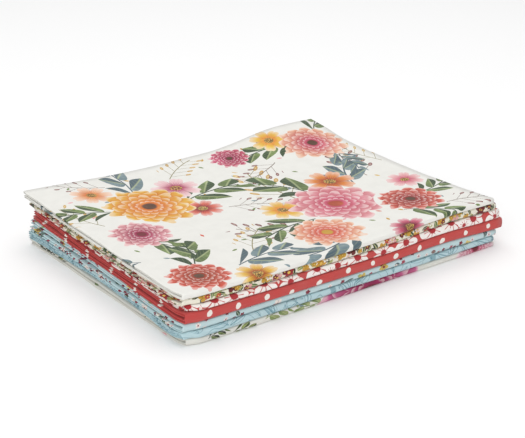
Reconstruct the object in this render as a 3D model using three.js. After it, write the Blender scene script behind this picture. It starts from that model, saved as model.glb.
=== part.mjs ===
import * as THREE from 'three';

// A bundle of seven printed cotton cuts, each folded in half twice and laid flat in a stack.
// Millimetres, +Z up. While it is being built, the corner nearest the viewer is the origin: +X runs
// along the long wrapped fold, +Y along the short side with the paired folds, and the two sides
// away from the viewer are the open ends. The finished group is centred over the surface.

// The driving sizes, of one folded cloth.
const LENGTH = 280;
const WIDTH = 215;
const SHEET = 1.0;
const PLY_GAP = 0.2;
const REST_GAP = 0.45;

// How finely the cloths are divided: stations along the length and the width, the last of them at
// the open end and the others even between two margins, and steps round each fold.
const LENGTH_STATIONS = 9;
const WIDTH_STATIONS = 6;
const MARGIN = 8;
const CREASE_STEPS = 4;
const WRAP_STEPS = 6;

// The first fold lays two plies together, and the second fold doubles those into four.
const PAIR = 2 * SHEET + PLY_GAP;
const FOLDED = 2 * PAIR + PLY_GAP;
const CREASE_RADIUS = PAIR / 2;
const WRAP_RADIUS = PAIR + PLY_GAP / 2;

// One row for each cloth, from the surface up.
//   left   how far its first fold lies in from X = 0, at the near corner and at the left corner
//   front  how far its second fold lies in from Y = 0, at the near corner and at the right corner
//   right  how far its outer and its inner plies reach past LENGTH
//   back   how far its lower and its upper half reach past WIDTH
//   thick  its thickness over the near side, the middle and the far side, each from left to right
const CLOTHS = [
  {
    name: 'cloth_1_leaf_bouquet',
    colour: 0xe8e4da,
    left: [0, 0.4],
    front: [0, 0],
    right: [-0.5, 0.5],
    back: [0, 1.5],
    thick: [[4.6, 4.4, 4.0], [4.2, 4.4, 4.4], [4.4, 4.4, 4.6]],
  },
  {
    name: 'cloth_2_blue_tonal',
    colour: 0xb4d0d8,
    left: [-3.5, -1.2],
    front: [-0.8, -0.5],
    right: [-1.5, 0],
    back: [0.5, -1],
    thick: [[5.2, 4.9, 4.3], [4.9, 4.4, 4.6], [6.2, 5.0, 6.0]],
  },
  {
    name: 'cloth_3_blue_floral',
    colour: 0xbfd3da,
    left: [-2, 0.8],
    front: [0, -0.3],
    right: [1, -1],
    back: [0, -1.5],
    thick: [[5.2, 4.3, 4.6], [8.2, 4.6, 4.8], [8.8, 6.2, 6.6]],
  },
  {
    name: 'cloth_4_red_dots',
    colour: 0xbe4a48,
    left: [-0.5, 2.5],
    front: [-1.2, -1],
    right: [6, 0.5],
    back: [-2, -2.5],
    thick: [[7.4, 7.0, 8.2], [6.2, 4.8, 6.4], [6.7, 6.0, 7.8]],
  },
  {
    name: 'cloth_5_red_flowers',
    colour: 0xe9c4c0,
    left: [-0.3, 3.3],
    front: [-0.5, -1.2],
    right: [2.8, -3],
    back: [-3, -2],
    thick: [[4.4, 5.4, 7.2], [4.0, 4.4, 6.0], [4.1, 4.6, 7.0]],
  },
  {
    name: 'cloth_6_small_flowers',
    colour: 0xd9d2b4,
    left: [-1.6, 1.2],
    front: [0.3, -0.2],
    right: [-1.5, -4],
    back: [-1.5, -0.5],
    thick: [[4.2, 4.5, 5.2], [4.0, 4.4, 4.8], [4.1, 4.6, 5.8]],
  },
  {
    name: 'cloth_7_large_flowers',
    colour: 0xeeefe8,
    left: [-2, -1],
    front: [-0.3, -1.2],
    right: [-3.5, -5],
    back: [3.2, 4.2],
    thick: [[4.2, 4.2, 4.2], [4.1, 4.4, 4.4], [4.4, 4.6, 5.2]],
  },
];

// Where the plies stand apart: a low round swell in every cloth from the row `from` to the row `to`.
const SWELLS = [
  { from: 2, to: 2, x: 225, y: 0, reach: [60, 70], rise: 1.8 },
  { from: 1, to: 6, x: 235, y: 215, reach: [70, 60], rise: 0.8 },
  { from: 6, to: 6, x: 15, y: 200, reach: [60, 60], rise: 0.9 },
];

const mix = ([from, to], share) => from + (to - from) * share;

// The parabola through three evenly spaced values.
function through([start, middle, end], share) {
  const fromStart = start * (2 * share - 1) * (share - 1);
  const fromMiddle = middle * 4 * share * (1 - share);
  return fromStart + fromMiddle + end * share * (2 * share - 1);
}

function swelling(row, x, y) {
  let rise = 0;
  for (const swell of SWELLS) {
    const away = Math.hypot((x - swell.x) / swell.reach[0], (y - swell.y) / swell.reach[1]);
    if (row >= swell.from && row <= swell.to && away < 1) {
      rise += swell.rise * Math.cos(away * Math.PI / 2) ** 2;
    }
  }
  return rise;
}

function thickness(row, x, y) {
  const acrossX = CLOTHS[row].thick.map((values) => through(values, x / LENGTH));
  return through(acrossX, y / WIDTH) + swelling(row, x, y);
}

// The height of a cloth's underside: each cloth lies on the ones below it.
function underside(row, x, y) {
  let height = 0;
  for (let below = 0; below < row; below += 1) {
    height += thickness(below, x, y) + REST_GAP;
  }
  return height;
}

// The section across the first fold, a thin U. Each entry is one place along it, with the two
// depths of the sheet there, counted from the inner ply's free face. Entries with a station lie on
// a plain ply, and the others turn round the crease.
function creaseSection() {
  const places = [];
  for (let station = LENGTH_STATIONS; station > 0; station -= 1) {
    places.push({ station, ply: 'outer', outside: PAIR, inside: PAIR - SHEET });
  }
  for (let step = 0; step <= CREASE_STEPS; step += 1) {
    const angle = Math.PI / 2 - Math.PI * step / CREASE_STEPS;
    const turn = (radius) => ({
      out: radius * Math.cos(angle),
      depth: CREASE_RADIUS + radius * Math.sin(angle),
    });
    places.push({ outer: turn(CREASE_RADIUS), inner: turn(PLY_GAP / 2) });
  }
  for (let station = 1; station <= LENGTH_STATIONS; station += 1) {
    places.push({ station, ply: 'inner', outside: 0, inside: SHEET });
  }
  return places;
}

// The path round the second fold, from the open end of the lower half to that of the upper half.
function wrapPath() {
  const stops = [];
  for (let station = WIDTH_STATIONS; station > 0; station -= 1) {
    stops.push({ station, half: 0, angle: -Math.PI / 2 });
  }
  for (let step = 0; step <= WRAP_STEPS; step += 1) {
    stops.push({ angle: Math.PI * (step / WRAP_STEPS - 1 / 2) });
  }
  for (let station = 1; station <= WIDTH_STATIONS; station += 1) {
    stops.push({ station, half: 1, angle: Math.PI / 2 });
  }
  return stops;
}

// X and Y share these stations, so that one cloth's facets lie over the next one's.
function stationAt(station, stations, span) {
  return MARGIN + (station - 1) * (span - 2 * MARGIN) / (stations - 2);
}

// One point of a cloth: `side` says which face of the sheet it is on.
function pointOn(row, place, side, stop) {
  const cloth = CLOTHS[row];
  const turned = place[side];
  const depth = turned ? turned.depth : place[side === 'outer' ? 'outside' : 'inside'];
  const radius = PLY_GAP / 2 + depth;
  const wrapping = stop.station === undefined;

  let y = wrapping ? 0 : stationAt(stop.station, WIDTH_STATIONS, WIDTH);
  if (stop.station === WIDTH_STATIONS) {
    y = WIDTH + cloth.back[stop.half];
  }
  let x = turned ? 0 : stationAt(place.station, LENGTH_STATIONS, LENGTH);
  if (place.station === LENGTH_STATIONS) {
    x = LENGTH + cloth.right[place.ply === 'outer' ? 0 : 1];
  }
  if (turned) {
    x = mix(cloth.left, y / WIDTH) + CREASE_RADIUS - turned.out;
  }
  if (wrapping) {
    y = mix(cloth.front, x / LENGTH) + WRAP_RADIUS - radius * Math.cos(stop.angle);
  }

  const share = (FOLDED / 2 + radius * Math.sin(stop.angle)) / FOLDED;
  return [x, y, underside(row, x, y) + share * thickness(row, x, y)];
}

// Each ring of points runs along the sheet's one face and back along its other face.
function clothGeometry(row) {
  const places = creaseSection();
  const stops = wrapPath();
  const last = places.length - 1;
  const round = 2 * places.length;
  const positions = [];
  const triangles = [];

  for (const stop of stops) {
    for (const place of places) {
      positions.push(...pointOn(row, place, 'outer', stop));
    }
    for (const place of [...places].reverse()) {
      positions.push(...pointOn(row, place, 'inner', stop));
    }
  }

  const quad = (a, b, c, d) => triangles.push(a, c, b, a, d, c);

  for (let ring = 0; ring + 1 < stops.length; ring += 1) {
    for (let point = 0; point < round; point += 1) {
      const corners = [
        ring * round + point,
        ring * round + (point + 1) % round,
        (ring + 1) * round + (point + 1) % round,
        (ring + 1) * round + point,
      ];
      // The upper half's facets are split along the same diagonal as the lower half's.
      if (stops[ring].half === 1) {
        corners.push(corners.shift());
      }
      quad(...corners);
    }
  }

  // The two open ends, each closed by a strip between the sheet's faces.
  const end = (stops.length - 1) * round;
  for (let point = 0; point < last; point += 1) {
    const facing = round - 1 - point;
    quad(point, facing, facing - 1, point + 1);
    quad(end + point, end + point + 1, end + facing - 1, end + facing);
  }

  const geometry = new THREE.BufferGeometry();
  geometry.setAttribute('position', new THREE.Float32BufferAttribute(positions, 3));
  geometry.setIndex(triangles);
  geometry.computeVertexNormals();
  return geometry;
}

const bundle = new THREE.Group();
CLOTHS.forEach((cloth, row) => {
  const material = new THREE.MeshStandardMaterial({ color: cloth.colour, roughness: 0.92, metalness: 0 });
  const mesh = new THREE.Mesh(clothGeometry(row), material);
  mesh.name = cloth.name;
  bundle.add(mesh);
});

// The origin is the middle of the bundle's box, on the surface that it rests on.
const box = new THREE.Box3().setFromObject(bundle);
const middle = box.getCenter(new THREE.Vector3());
bundle.position.set(-middle.x, -middle.y, -box.min.z);

export default bundle;
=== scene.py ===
# %% [markdown]
# # A bundle of folded cotton prints
#
# Seven cuts of printed quilting cotton lie in one stack. Each is a plain rectangle that was folded in
# half along its length and then in half across, so it shows four plies: paired folds on the short
# side at the left, one round wrap along the front, and raw edges on the two sides behind.
#
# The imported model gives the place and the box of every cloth. Here each one gets a thin sheet on the
# same folds, its softer creases, its weave and its print.

# %% The frame and the tools
import math

import bmesh
import bpy
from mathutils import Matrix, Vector


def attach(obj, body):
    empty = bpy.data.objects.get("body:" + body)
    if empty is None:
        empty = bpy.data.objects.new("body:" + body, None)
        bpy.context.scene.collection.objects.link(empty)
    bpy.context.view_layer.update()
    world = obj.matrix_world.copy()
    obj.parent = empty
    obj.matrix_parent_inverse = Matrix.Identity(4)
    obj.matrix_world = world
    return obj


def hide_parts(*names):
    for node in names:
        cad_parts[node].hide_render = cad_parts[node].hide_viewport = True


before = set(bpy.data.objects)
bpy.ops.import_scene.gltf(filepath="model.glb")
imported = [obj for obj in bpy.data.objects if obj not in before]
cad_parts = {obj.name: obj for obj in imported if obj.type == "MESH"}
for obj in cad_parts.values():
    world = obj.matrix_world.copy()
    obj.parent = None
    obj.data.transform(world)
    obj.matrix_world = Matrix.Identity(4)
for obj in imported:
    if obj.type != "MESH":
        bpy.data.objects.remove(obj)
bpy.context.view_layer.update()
print("nodes", sorted(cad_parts))

# %% [markdown]
# ## Camera
#
# The photograph looks down on the corner nearest to us with a fairly long lens, so the stack's sides
# hardly taper. The height, the turn and the lens come from where the stack's corners fall in it. They
# could be matched by eye, but a fit to the corners gives the stack's own proportions as well.

# %% Camera
LENS_MM = 85.71
SENSOR_MM = 36.0
CAMERA_PLACE = (-0.5255, -0.7064, 0.3739)
CAMERA_TILT = math.radians(68.14)
CAMERA_TURN = math.radians(-36.66)

camera = bpy.data.objects.new("camera", bpy.data.cameras.new("camera"))
bpy.context.scene.collection.objects.link(camera)
camera.data.lens = LENS_MM
camera.data.sensor_width = SENSOR_MM
camera.location = CAMERA_PLACE
camera.rotation_euler = (CAMERA_TILT, 0, CAMERA_TURN)
bpy.context.scene.camera = camera
print("camera", [round(value, 3) for value in camera.location], "lens", camera.data.lens)

# %% [markdown]
# ## How one cloth is folded
#
# Flat, a cut is a rectangle with its middle at (0, 0). The first fold runs through s = 0 and the
# second through t = 0. A point of the flat cut is carried to its place in two steps: s says how far it
# lies from the first fold and on which ply, and t turns it round the second fold. The sizes below are
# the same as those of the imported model, in millimetres, with x along the front and y away from it.

# %% Sizes of the folded cloths
MM = 0.001
LENGTH = 280.0
WIDTH = 215.0

# A folded cloth of the usual thickness, the gap between two cloths, and the sheet's own thickness.
FOLDED = 4.6
REST_GAP = 0.45
CLOTH_THICKNESS = 0.5

# Where the right side of the print lies, counted from the middle of the second fold. A crease reaches
# further out than a half circle would.
OUTER_PLY = FOLDED / 2
INNER_PLY = 0.5
CREASE_MIDDLE = (OUTER_PLY + INNER_PLY) / 2
CREASE_RADIUS = (OUTER_PLY - INNER_PLY) / 2
CREASE_OUT = 1.9
CREASE_ARC = math.pi / 2 * CREASE_RADIUS
WRAP_ARC = math.pi / 2 * OUTER_PLY

# One row for each cloth, from the surface up: how far the first fold lies in at the near and the
# left corner, how far the second lies in at the near and the right corner, how far the outer and the
# inner plies reach past the length, how far the lower and the upper half reach past the width, and
# the thickness over the near side, the middle and the far side, each from left to right.
CLOTHS = [
    {
        "node": "cloth_1_leaf_bouquet",
        "slot": "leaf_bouquet_print",
        "left": (0, 0.4),
        "front": (0, 0),
        "right": (-0.5, 0.5),
        "back": (0, 1.5),
        "thick": ((4.6, 4.4, 4.0), (4.2, 4.4, 4.4), (4.4, 4.4, 4.6)),
    },
    {
        "node": "cloth_2_blue_tonal",
        "slot": "blue_tonal_print",
        "left": (-3.5, -1.2),
        "front": (-0.8, -0.5),
        "right": (-1.5, 0),
        "back": (0.5, -1),
        "thick": ((5.2, 4.9, 4.3), (4.9, 4.4, 4.6), (6.2, 5.0, 6.0)),
    },
    {
        "node": "cloth_3_blue_floral",
        "slot": "blue_floral_print",
        "left": (-2, 0.8),
        "front": (0, -0.3),
        "right": (1, -1),
        "back": (0, -1.5),
        "thick": ((5.2, 4.3, 4.6), (8.2, 4.6, 4.8), (8.8, 6.2, 6.6)),
    },
    {
        "node": "cloth_4_red_dots",
        "slot": "red_dot_print",
        "left": (-0.5, 2.5),
        "front": (-1.2, -1),
        "right": (6, 0.5),
        "back": (-2, -2.5),
        "thick": ((7.4, 7.0, 8.2), (6.2, 4.8, 6.4), (6.7, 6.0, 7.8)),
    },
    {
        "node": "cloth_5_red_flowers",
        "slot": "red_flower_print",
        "left": (-0.3, 3.3),
        "front": (-0.5, -1.2),
        "right": (2.8, -3),
        "back": (-3, -2),
        "thick": ((4.4, 5.4, 7.2), (4.0, 4.4, 6.0), (4.1, 4.6, 7.0)),
    },
    {
        "node": "cloth_6_small_flowers",
        "slot": "small_flower_print",
        "left": (-1.6, 1.2),
        "front": (0.3, -0.2),
        "right": (-1.5, -4),
        "back": (-1.5, -0.5),
        "thick": ((4.2, 4.5, 5.2), (4.0, 4.4, 4.8), (4.1, 4.6, 5.8)),
    },
    {
        "node": "cloth_7_large_flowers",
        "slot": "large_flower_print",
        "left": (-2, -1),
        "front": (-0.3, -1.2),
        "right": (-3.5, -5),
        "back": (3.2, 4.2),
        "thick": ((4.2, 4.2, 4.2), (4.1, 4.4, 4.4), (4.4, 4.6, 5.2)),
    },
]

# Where the plies stand apart: a low round swell in every cloth of these rows.
SWELLS = [
    {"rows": (2,), "at": (225, 0), "reach": (60, 70), "rise": 1.8},
    {"rows": (1, 2, 3, 4, 5, 6), "at": (235, 215), "reach": (70, 60), "rise": 0.8},
    {"rows": (6,), "at": (15, 200), "reach": (60, 60), "rise": 0.9},
]

# The near corner of the first cloth in the row frame, in millimetres.
NEAR_CORNER = (-141.25, -108.97)
print(len(CLOTHS), "cloths, each cut", 2 * LENGTH * MM, "by", 2 * WIDTH * MM, "metres")

# %% [markdown]
# ## How the cloths lie on one another
#
# No cloth in a stack is flat. Each one follows those below it and adds its own unevenness. Here a
# cloth's thickness is a smooth surface through nine values, with a low swell where its plies stand
# apart, and its underside is the sum of what lies below. A cloth simulation would make such shapes too,
# but not in the places where the photograph shows them.

# %% Heights
def mix(start, end, share):
    return start + (end - start) * share


def clamped(value, low, high):
    return max(low, min(high, value))


def through(values, share):
    """The parabola through three evenly spaced values."""
    start, middle, end = values
    from_start = start * (2 * share - 1) * (share - 1)
    from_middle = middle * 4 * share * (1 - share)
    return from_start + from_middle + end * share * (2 * share - 1)


def swelling(row, x, y):
    rise = 0.0
    for swell in SWELLS:
        away_x = (x - swell["at"][0]) / swell["reach"][0]
        away_y = (y - swell["at"][1]) / swell["reach"][1]
        away = math.hypot(away_x, away_y)
        if row in swell["rows"] and away < 1:
            rise += swell["rise"] * math.cos(away * math.pi / 2) ** 2
    return rise


def thickness(row, x, y):
    along = [through(values, x / LENGTH) for values in CLOTHS[row]["thick"]]
    return through(along, y / WIDTH) + swelling(row, x, y)


def underside(row, x, y):
    return sum(thickness(below, x, y) + REST_GAP for below in range(row))


print("height over the near corner", round(underside(len(CLOTHS), 0, 0) - REST_GAP, 2), "mm")

# %% [markdown]
# ## What makes it cloth
#
# A pressed fold is never straight. The folds wander in and out by about a millimetre, the wraps are
# plump in one place and pinched in another, and a fold that was pressed twice has a furrow along it.
# These are slow waves of a few sizes, each cloth with its own, so the result is the same every run.

# %% Uneven folds
# The waves that add up to a wander: how strong each is, how often it fits in the longest, and how
# far a seed shifts it.
WAVES = ((1.0, 1.0, 1.7), (0.6, 2.3, 4.1), (0.35, 4.9, 2.9))
WAVES_TOGETHER = 1.6


def wander(seed, place, size):
    """A slow wave between about -1 and 1, its own for each seed; size is its longest length in mm."""
    turn = place * 2 * math.pi / size
    wave = sum(strong * math.sin(turn * often + seed * shift) for strong, often, shift in WAVES)
    return wave / WAVES_TOGETHER


# How far the first folds, the second folds and the raw edges wander, the length of their longest
# wave and their first seed. There is a length for the raw edges at the side and for those behind.
FOLD_WANDER = 0.6
FOLD_WAVE = 150
WRAP_WANDER = 0.4
WRAP_WAVE = 190
WRAP_SEED = 20
EDGE_WANDER = 0.7
SIDE_WAVE = 170
SIDE_SEED = 60
BACK_WAVE = 210
BACK_SEED = 80

# How far the creases of the two halves lie apart, and how far each cloth's left side bows in.
HALF_STEP = 0.8
LEFT_BOW = (0.8, 4.4, 1.6, 0.0, 0.0, 0.0, 0.6)

# The furrow's depth, and its reach as a share of the crease.
FURROW = 2.2
FURROW_REACH = 0.22
FURROW_WAVE = 120
FURROW_SEED = 40

# How far the doubled corner is drawn in, and how far from the corner that is felt.
CORNER_PULL = 2.6
CORNER_REACH = 7.0

# The power of a fold's profile: 1 is a half circle, and less is blunter.
BLUNT = 0.6


def first_fold_at(row, upper, y):
    """How far in the first fold lies, on the lower or the upper half."""
    straight = mix(*CLOTHS[row]["left"], y / WIDTH)
    straight += LEFT_BOW[row] * math.sin(math.pi * clamped(y / WIDTH, 0.0, 1.0))
    step = HALF_STEP * math.sin(row * 2.1 + upper * 2.6)
    return straight + step + FOLD_WANDER * wander(row * 2 + upper, y, FOLD_WAVE)


def second_fold_at(row, x):
    """How far in the second fold lies."""
    straight = mix(*CLOTHS[row]["front"], x / LENGTH)
    return straight + WRAP_WANDER * wander(row + WRAP_SEED, x, WRAP_WAVE)


def corner_pull(row, x, y):
    """How far the doubled corner is drawn in, both ways, because cloth can't make a sharp one."""
    nearness = math.exp(-(max(x, 0.0) / CORNER_REACH) ** 2 - (max(y, 0.0) / CORNER_REACH) ** 2)
    return CORNER_PULL * (1 + 0.4 * math.sin(row * 1.9)) * nearness


def furrow(row, upper, y, bend):
    """How far a crease dips along its middle; bend runs from -1 to 1 round the crease."""
    along = 0.7 + 0.3 * wander(row * 3 + upper + FURROW_SEED, y, FURROW_WAVE)
    along *= thickness(row, 0, min(y, WIDTH)) / FOLDED
    return FURROW * along * math.exp(-(bend / FURROW_REACH) ** 2)


print("first folds wander by", FOLD_WANDER, "mm and dip by up to", FURROW, "mm")

# %% [markdown]
# ## The fold itself
#
# Two bend modifiers on a flat grid would give round folds of even width. Pressed cloth is blunter, and
# every crease lies somewhere else, so one function carries each point of the flat cut to its place. It
# turns the point round the crease, then round the wrap, and adds the unevenness on the way.

# %% Folding a point
def folded(row, s, t):
    """Where the point (s, t) of the flat cut lies in the folded bundle, in metres of the row frame."""
    cloth = CLOTHS[row]
    bend = clamped(s / CREASE_ARC, -1.0, 1.0)
    wrap = clamped(t / WRAP_ARC, -1.0, 1.0)
    turn = bend * math.pi / 2
    upper = 1 if t > 0 else 0

    depth = CREASE_MIDDLE + CREASE_RADIUS * math.sin(turn)
    out = CREASE_OUT * max(0.0, math.cos(turn)) ** BLUNT

    past_crease = max(0.0, abs(s) - CREASE_ARC) / (LENGTH - CREASE_RADIUS)
    past_wrap = max(0.0, abs(t) - WRAP_ARC) / (WIDTH - OUTER_PLY)

    # A first guess of x and y, to look the folds up at.
    x = past_crease * LENGTH
    y = past_wrap * WIDTH

    reach_x = LENGTH + cloth["right"][0 if s > 0 else 1]
    reach_x += EDGE_WANDER * wander(row * 2 + (s > 0) + SIDE_SEED, y, SIDE_WAVE)
    reach_y = WIDTH + cloth["back"][upper]
    reach_y += EDGE_WANDER * wander(row * 2 + upper + BACK_SEED, x, BACK_WAVE)

    blend_halves = 0.5 + 0.5 * wrap
    fold_x = mix(first_fold_at(row, 0, y), first_fold_at(row, 1, y), blend_halves)
    dip = mix(furrow(row, 0, y, bend), furrow(row, 1, y, bend), blend_halves) * abs(wrap)
    start_x = fold_x + CREASE_RADIUS
    x = mix(start_x, reach_x, past_crease) - out + dip

    angle = wrap * math.pi / 2
    start_y = second_fold_at(row, x) + OUTER_PLY
    y = mix(start_y, reach_y, past_wrap) - depth * max(0.0, math.cos(angle)) ** BLUNT
    pull = corner_pull(row, x, y)
    x += pull
    y += pull

    share = 0.5 + depth * math.sin(angle) / FOLDED
    z = underside(row, x, y) + share * thickness(row, x, y)
    return Vector((x + NEAR_CORNER[0], y + NEAR_CORNER[1], z)) * MM


print("near corner, top print", [round(value, 4) for value in folded(6, 0, WRAP_ARC)])

# %% [markdown]
# ## One sheet for each cloth
#
# The cut starts as a flat grid from bmesh, because cloth is woven as one. Its lines are close together
# at the two folds, where it bends most, and further apart over the flat plies. The flat place of each
# point is kept as the sheet's own UV map in decimetres, so that the print bends with the cloth. The
# sheet is the right side of the print, and Solidify gives it its thickness on the wrong side.
#
# The folds beside a furrow are too narrow for that thickness: the wrong side would come out through the
# print. So a vertex group makes the sheet thin inside the creases, and full a little way past them.

# %% Stations across the flat cut
PLY_SPREAD = 1.25


def stations(reach, arc, arc_steps, ply_steps):
    """Places along one way of the flat cut, close together round the fold and wider after it."""
    positive = [arc * (step + 1) / arc_steps for step in range(arc_steps)]
    for step in range(ply_steps):
        share = (step + 1) / ply_steps
        positive.append(mix(arc, reach + arc, share ** PLY_SPREAD))
    return [-place for place in reversed(positive)] + [0.0] + positive


# The steps round half a fold, and those over the ply after it.
ALONG_STEPS = (8, 52)
ACROSS_STEPS = (8, 42)
ALONG = stations(LENGTH - CREASE_RADIUS, CREASE_ARC, *ALONG_STEPS)
ACROSS = stations(WIDTH - OUTER_PLY, WRAP_ARC, *ACROSS_STEPS)
print(len(ALONG), "lines along and", len(ACROSS), "across")

# %% Places on the flat print
UV_UNIT = 100.0


def longer_arc(place, arc, stretch):
    """A place counted along the real arc of a fold, which is longer on a plump cloth."""
    extra = (stretch - 1) * min(abs(place), arc)
    return place + math.copysign(extra, place)


def print_place(row, s, t):
    """The point's place on the flat print, in decimetres."""
    plump = thickness(row, min(abs(s), LENGTH), min(abs(t), WIDTH)) / FOLDED
    blunt = CREASE_OUT / CREASE_RADIUS
    along = longer_arc(s, CREASE_ARC, math.hypot(plump, blunt) / math.sqrt(2))
    across = longer_arc(t, WRAP_ARC, plump)
    return along / UV_UNIT, across / UV_UNIT


print("top print's far corner in decimetres", [round(value, 3) for value in print_place(6, LENGTH, WIDTH)])

# %% The sheets
# The sheet's thickness inside a crease as a share of the whole, and how far past it the sheet is whole.
CREASE_SHARE = 0.15
WHOLE_AFTER = 4.0


def make_sheet(row):
    cloth = CLOTHS[row]
    build = bmesh.new()
    columns = len(ALONG) - 1
    lines = len(ACROSS) - 1
    bmesh.ops.create_grid(build, x_segments=columns, y_segments=lines, size=1.0)
    uv_layer = build.loops.layers.uv.new("flat_cut")
    weights = build.verts.layers.deform.verify()
    flat = {}
    for vertex in build.verts:
        column = round((vertex.co.x + 1) / 2 * columns)
        line = round((vertex.co.y + 1) / 2 * lines)
        flat[vertex] = (ALONG[column], ACROSS[line])
    for face in build.faces:
        face.smooth = True
        for loop in face.loops:
            loop[uv_layer].uv = print_place(row, *flat[loop.vert])
    for vertex, (s, t) in flat.items():
        vertex.co = folded(row, s, t)
        vertex[weights][0] = clamped((abs(s) - CREASE_ARC) / WHOLE_AFTER, 0.0, 1.0)

    mesh = bpy.data.meshes.new(cloth["node"] + "_sheet")
    build.to_mesh(mesh)
    build.free()
    sheet = bpy.data.objects.new(cloth["node"] + "_sheet", mesh)
    bpy.context.scene.collection.objects.link(sheet)

    whole = sheet.vertex_groups.new(name="full_thickness")
    body = sheet.modifiers.new("cloth thickness", "SOLIDIFY")
    body.thickness = CLOTH_THICKNESS * MM
    body.vertex_group = whole.name
    body.thickness_vertex_group = CREASE_SHARE
    body.offset = -1
    body.use_rim = True
    body.material_offset = 1
    body.material_offset_rim = 2
    return sheet


sheets = [make_sheet(row) for row in range(len(CLOTHS))]
print("triangles in the two faces of a sheet", 4 * (len(ALONG) - 1) * (len(ACROSS) - 1))

# %% [markdown]
# ## Small helpers for materials
#
# Every print is a node tree: it starts from the flat place of the cloth, and masks and colours are laid
# over the ground one after another, as a printer lays colours. Each helper adds one node, or a few that
# belong together, so that a print can be read as a recipe.

# %% Node helpers
def join(tree, value, socket):
    """Links a socket to another, or writes a plain value on it."""
    if isinstance(value, bpy.types.NodeSocket):
        tree.links.new(value, socket)
    elif isinstance(value, (tuple, list)) and len(value) == 3 and socket.type == "RGBA":
        socket.default_value = (*value, 1)
    else:
        socket.default_value = value


def number(tree, operation, *values):
    node = tree.nodes.new("ShaderNodeMath")
    node.operation = operation
    for socket, value in zip(node.inputs, values):
        join(tree, value, socket)
    return node.outputs[0]


def arrow(tree, operation, *values):
    """A vector node; LENGTH gives a number and the others a vector."""
    node = tree.nodes.new("ShaderNodeVectorMath")
    node.operation = operation
    sockets = node.inputs[3:] if operation == "SCALE" else node.inputs[1:]
    join(tree, values[0], node.inputs[0])
    for socket, value in zip(sockets, values[1:]):
        join(tree, value, socket)
    return node.outputs["Value" if operation == "LENGTH" else "Vector"]


MIX_SOCKETS = {"FLOAT": (2, 3, 0), "VECTOR": (4, 5, 1), "RGBA": (6, 7, 2)}


def lay(tree, share, under, over, kind="RGBA", blend="MIX"):
    """Lays one colour, vector or number over another, as far as share says."""
    node = tree.nodes.new("ShaderNodeMix")
    node.data_type = kind
    if kind == "RGBA":
        node.blend_type = blend
    first, second, result = MIX_SOCKETS[kind]
    join(tree, share, node.inputs[0])
    join(tree, under, node.inputs[first])
    join(tree, over, node.inputs[second])
    return node.outputs[result]


print("sockets of a mix node", MIX_SOCKETS)

# %% Masks, places and noise
def ease(tree, value, low, high, start=0.0, end=1.0):
    """A soft step: start below low, end above high."""
    node = tree.nodes.new("ShaderNodeMapRange")
    node.interpolation_type = "SMOOTHSTEP"
    join(tree, value, node.inputs["Value"])
    join(tree, low, node.inputs["From Min"])
    join(tree, high, node.inputs["From Max"])
    join(tree, start, node.inputs["To Min"])
    join(tree, end, node.inputs["To Max"])
    return node.outputs["Result"]


def both(tree, first, second):
    """Where two masks overlap."""
    return number(tree, "MULTIPLY", first, second)


def between(tree, value, low, high):
    """A mask of where a value lies between two others."""
    return both(tree, number(tree, "GREATER_THAN", value, low), number(tree, "LESS_THAN", value, high))


def zigzag(tree, value):
    """1 at the whole numbers and 0 halfway between them."""
    saw = number(tree, "FRACT", value)
    return number(tree, "ABSOLUTE", number(tree, "MULTIPLY_ADD", saw, 2.0, -1.0))


def distance(tree, across, along):
    """How far away a place is that lies so far across and so far along."""
    squares = [number(tree, "POWER", part, 2.0) for part in (across, along)]
    return number(tree, "SQRT", number(tree, "ADD", *squares))


def split(tree, place):
    """The first two numbers of a place."""
    node = tree.nodes.new("ShaderNodeSeparateXYZ")
    join(tree, place, node.inputs[0])
    return node.outputs[0], node.outputs[1]


def clouds(tree, place, scale, detail=2.0, roughness=0.5):
    """Soft noise between 0 and 1."""
    node = tree.nodes.new("ShaderNodeTexNoise")
    node.inputs["Detail"].default_value = detail
    node.inputs["Roughness"].default_value = roughness
    join(tree, place, node.inputs["Vector"])
    join(tree, scale, node.inputs["Scale"])
    return node.outputs["Fac"]


def placed(tree, place, at, size, turn=0.0):
    """The place seen from a motif: its middle is the origin, and its size one unit."""
    node = tree.nodes.new("ShaderNodeMapping")
    node.vector_type = "TEXTURE"
    join(tree, place, node.inputs["Vector"])
    node.inputs["Location"].default_value = (*at, 0)
    node.inputs["Rotation"].default_value = (0, 0, turn)
    node.inputs["Scale"].default_value = (size, size, 1)
    return node.outputs["Vector"]


def swayed(tree, place, scale, detail, amount):
    """The place pushed a little to and fro, so that nothing in a print is ruled."""
    centred = arrow(tree, "ADD", clouds(tree, place, scale, detail), (-0.5, -0.5, -0.5))
    return arrow(tree, "ADD", place, arrow(tree, "SCALE", centred, amount))


print("masks, places and noise have their helpers")

# %% Palettes, groups and inks
def palette(tree, value, colours):
    """One flat colour for each even share of value."""
    node = tree.nodes.new("ShaderNodeValToRGB")
    ramp = node.color_ramp
    ramp.interpolation = "CONSTANT"
    while len(ramp.elements) < len(colours):
        ramp.elements.new(0.99)
    for index, colour in enumerate(colours):
        ramp.elements[index].position = index / len(colours)
        ramp.elements[index].color = (*colour, 1)
    join(tree, value, node.inputs[0])
    return node.outputs[0]


def new_group(name, inputs, outputs):
    """An empty node group, its inputs by name and the node that its results go to."""
    tree = bpy.data.node_groups.new(name, "ShaderNodeTree")
    kinds = {"vector": "NodeSocketVector", "number": "NodeSocketFloat", "colour": "NodeSocketColor"}
    for label, kind, value in inputs:
        socket = tree.interface.new_socket(label, in_out="INPUT", socket_type=kinds[kind])
        if value is not None:
            socket.default_value = (*value, 1) if kind == "colour" else value
    for label, kind in outputs:
        tree.interface.new_socket(label, in_out="OUTPUT", socket_type=kinds[kind])
    start = tree.nodes.new("NodeGroupInput")
    end = tree.nodes.new("NodeGroupOutput")
    given = {label: start.outputs[label] for label, _, _ in inputs}
    return tree, given, end


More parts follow.
